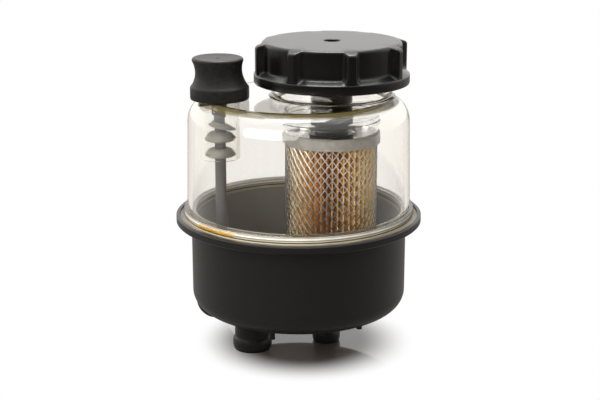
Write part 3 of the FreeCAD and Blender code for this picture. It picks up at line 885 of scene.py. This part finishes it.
def grip_outline():
    """Outline of the grip, as radius and height, from its socket's top round to the middle of its top."""
    outline = [(3.5, 182.5), (3.5, 156.9), (4.2, 156.9), (4.4, 157.1), (4.4, 166.9), (10.5, 166.9)]
    outline += [(10.5, 177.5), (13.5, 177.5), (13.5, 166.9), (17.8, 166.9), (18.35, 167.1), (18.65, 167.8)]
    outline += [(18.7, 170.8), (18.65, 174.2), (18.4, 174.95), (17.9, 175.5), (17.1, 176.6), (16.2, 178.4)]
    outline += [(15.45, 180.4), (15.0, 182.2), (14.8, 184.0), (14.85, 186.0), (15.1, 188.0), (15.6, 189.8)]
    outline += [(16.1, 190.9), (16.2, 191.6), (16.1, 192.3), (15.6, 192.9), (14.8, 193.3), (13.6, 193.35)]
    outline += [(12.0, 193.0), (9.0, 192.75), (5.0, 192.65), (1.1, 192.6), (0.8, 192.2)]
    return outline


def grip_lean(radius, height):
    """Shift to the side. The socket for the rod has none."""
    if radius <= SOCKET_RADIUS and height <= SOCKET_TOP:
        return 0
    return GRIP_LEAN * smooth_step(LEAN_START, LEAN_END, height)


def make_grip(material):
    """Rubber plug that leans a little, with a small moulding pit in the middle of its top."""
    outline = grip_outline()
    rows = len(outline)
    points = []
    for column in range(GRIP_STEPS):
        angle = 2 * math.pi * column / GRIP_STEPS
        for radius, height in outline:
            x, y, z = around_axis(DIPSTICK_AXIS, radius, angle, height)
            points.append((x + grip_lean(radius, height), y, z))
    faces = ring_faces(GRIP_STEPS, rows, False)
    faces.append([column * rows for column in range(GRIP_STEPS)])
    faces.append([column * rows + rows - 1 for column in range(GRIP_STEPS)])
    new_piece("rubber_grip", points, faces, material, "dipstick", "dipstick_grip", GRIP_EDGE)


def make_upper_disc(material):
    """Thin umbrella disc that hangs askew on the rod."""
    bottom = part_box("upper_splash_disc")[0].z / MM
    points = []
    for column in range(DISC_STEPS):
        angle = 2 * math.pi * column / DISC_STEPS
        for radius, rise in DISC_OUTLINE:
            tilt = DISC_TILT * radius * math.cos(angle)
            x, y, z = around_axis(DIPSTICK_AXIS, radius, angle, bottom + rise + tilt)
            points.append((x + DISC_SHIFT * smooth_step(DISC_HUB, DISC_BRIM, radius), y, z))
    faces = ring_faces(DISC_STEPS, len(DISC_OUTLINE), True)
    new_piece("askew_disc", points, faces, material, "dipstick", "upper_splash_disc", DISC_EDGE)


def make_joint(material):
    """Ring of sealant under the dome's foot, squeezed out into the groove beside the bowl's lip."""
    points = []
    for step in range(JOINT_STEPS):
        angle = 2 * math.pi * step / JOINT_STEPS
        for radius, height in JOINT_OUTLINE:
            points.append((radius * math.cos(angle), radius * math.sin(angle), height))
    faces = ring_faces(JOINT_STEPS, len(JOINT_OUTLINE), True)
    new_piece("joint_sealant", points, faces, material, "tank", "flange_seal")


def string_size(share):
    """Uneven thickness of the sealant string along its length, which runs out at both ends."""
    size = STRING_MEAN
    for strength, rate, start in STRING_WAVES:
        size += strength * math.sin(rate * share + start)
    return size * smooth_step(0, STRING_HEAD, share) * smooth_step(0, STRING_TAIL, 1 - share)


def make_sealant(material):
    """Uneven string of sealant on the outer face of the dome's foot."""
    points = []
    for step in range(STRING_STEPS + 1):
        share = step / STRING_STEPS
        angle = math.radians(mix(STRING_START, STRING_END, share))
        size = string_size(share)
        depth = max(STRING_DEPTH * size, STRING_THIN)
        half = STRING_HALF * max(size, STRING_THIN)
        for side in range(STRING_SIDES):
            turn = 2 * math.pi * side / STRING_SIDES
            radius = STRING_RADIUS + depth * (0.5 + 0.5 * math.cos(turn))
            height = STRING_HEIGHT + half * math.sin(turn)
            points.append((radius * math.cos(angle), radius * math.sin(angle), height))
    faces = tube_faces(STRING_STEPS, STRING_SIDES)
    new_piece("sealant_string", points, faces, material, "tank", None, STRING_EDGE)


def make_neck_thread(material):
    """Helical ridge round the filler neck, tapered out at both ends."""
    steps = int(THREAD_STEPS * THREAD_TURNS)
    points = []
    for step in range(steps + 1):
        turns = step / THREAD_STEPS
        height = THREAD_START + THREAD_PITCH * turns
        size = smooth_step(0, THREAD_TAPER, turns) * smooth_step(0, THREAD_TAPER, THREAD_TURNS - turns)
        for radius, rise in THREAD_SECTION:
            ridge = mix(THREAD_ROOT, radius, max(size, THREAD_THIN))
            points.append(around_axis(FILTER_AXIS, ridge, 2 * math.pi * turns, height + rise))
    faces = tube_faces(steps, len(THREAD_SECTION))
    new_piece("neck_thread", points, faces, material, "tank", None)


def make_spring(material):
    """Coil spring of the hold-down, which in the real filter shortens as the plunger rises into its
    sleeve.
    """
    low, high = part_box("hold_down_spring")
    radius = (high.x - low.x) / 2 / MM - SPRING_WIRE
    bottom = low.z / MM + SPRING_WIRE
    length = (high.z - low.z) / MM - 2 * SPRING_WIRE
    steps = SPRING_TURNS * SPRING_STEPS
    points = []
    for step in range(steps + 1):
        angle = 2 * math.pi * SPRING_TURNS * step / steps
        height = bottom + length * step / steps
        for side in range(SPRING_SIDES):
            turn = 2 * math.pi * side / SPRING_SIDES
            out = radius + SPRING_WIRE * math.cos(turn)
            points.append(around_axis(FILTER_AXIS, out, angle, height + SPRING_WIRE * math.sin(turn)))
    piece = mesh_object("coil_spring", points, tube_faces(steps, SPRING_SIDES), material)
    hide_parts("hold_down_spring")
    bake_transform(piece)


def dress_part():
    """Gives each CAD node its material, and makes the pieces that stand for nodes or lie on them."""
    cap = cap_plastic()
    rubber = plug_rubber()
    discs = disc_plastic()
    seal = brown_sealant()
    steel = galvanised_steel()
    dome = dome_plastic()
    looks = {
        bowl_plastic(): ["lower_bowl"],
        cap: ["filler_cap"],
        rubber: ["dipstick_grip", "cap_gasket", "plunger_seal", "filter_bottom_seal"],
        inner_plastic(): ["hold_down_sleeve", "hold_down_plunger", "vent_retainer"],
        stem_plastic(): ["dipstick_stem"],
        discs: ["lower_splash_disc", "middle_splash_disc", "upper_splash_disc"],
        seal: ["flange_seal"],
        milky_plastic(): ["filter_bottom_cap"],
        filter_top_plastic(): ["filter_top_cap"],
        steel: ["filter_mesh", "filter_core", "hold_down_spring"],
        pleated_paper(): ["filter_paper"],
        grey_foam(): ["vent_filter"],
        dome: ["clear_dome"],
    }
    for material, nodes in looks.items():
        for node in nodes:
            paint(node, material)
    make_jacket(steel)
    make_cap(cap)
    make_grip(rubber)
    make_upper_disc(discs)
    make_joint(seal)
    make_sealant(amber_sealant())
    make_neck_thread(dome)
    make_spring(steel)


def set_light_paths():
    """Bounces of light, and colours shown as they are."""
    scene = bpy.context.scene
    scene.cycles.max_bounces = MOST_BOUNCES
    scene.cycles.transmission_bounces = MOST_BOUNCES
    scene.cycles.glossy_bounces = GLOSSY_BOUNCES
    scene.view_settings.view_transform = "Standard"


make_camera()
make_world()
make_floor()
make_lamps()
dress_part()
set_light_paths()
